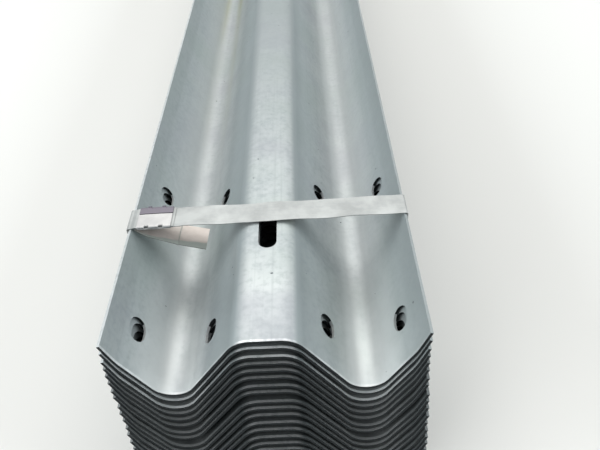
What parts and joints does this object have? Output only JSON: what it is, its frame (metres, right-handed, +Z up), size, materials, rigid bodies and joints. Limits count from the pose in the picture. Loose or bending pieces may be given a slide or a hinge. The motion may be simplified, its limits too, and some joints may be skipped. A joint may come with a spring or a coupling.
{
  "type": "highway guardrail section bundle",
  "caption": "Bundle of nested two-wave galvanised steel guardrail sections with post and splice slots, held together by steel strapping with crimped seals.",
  "frame": {"origin": "bottom centre of the bundle's box, on the floor under the straps", "axes": "+Y along the rails, away from the end that shows in the picture; +X across them, to the right in the picture; +Z up"},
  "size_m": [0.3192, 4.3438, 0.2585],
  "materials": {
    "galvanised_sheet": "hot-dip galvanised, satin, softly mottled",
    "strap_steel": "plain steel strapping, worn",
    "seal_steel": "bright zinc-plated, crimped"
  },
  "bodies": {
    "root": {"rail_01": "galvanised_sheet", "rail_02": "galvanised_sheet", "rail_03": "galvanised_sheet", "rail_04": "galvanised_sheet", "rail_05": "galvanised_sheet", "rail_06": "galvanised_sheet", "rail_07": "galvanised_sheet", "rail_08": "galvanised_sheet", "rail_09": "galvanised_sheet", "rail_10": "galvanised_sheet", "rail_11": "galvanised_sheet", "rail_12": "galvanised_sheet", "rail_13": "galvanised_sheet", "rail_14": "galvanised_sheet", "rail_15": "galvanised_sheet", "rail_16": "galvanised_sheet", "rail_17": "galvanised_sheet", "strap_near": "strap_steel", "seal_near": "seal_steel", "strap_middle": "strap_steel", "seal_middle": "seal_steel", "strap_far": "strap_steel", "seal_far": "seal_steel"}
  },
  "joints": []
}
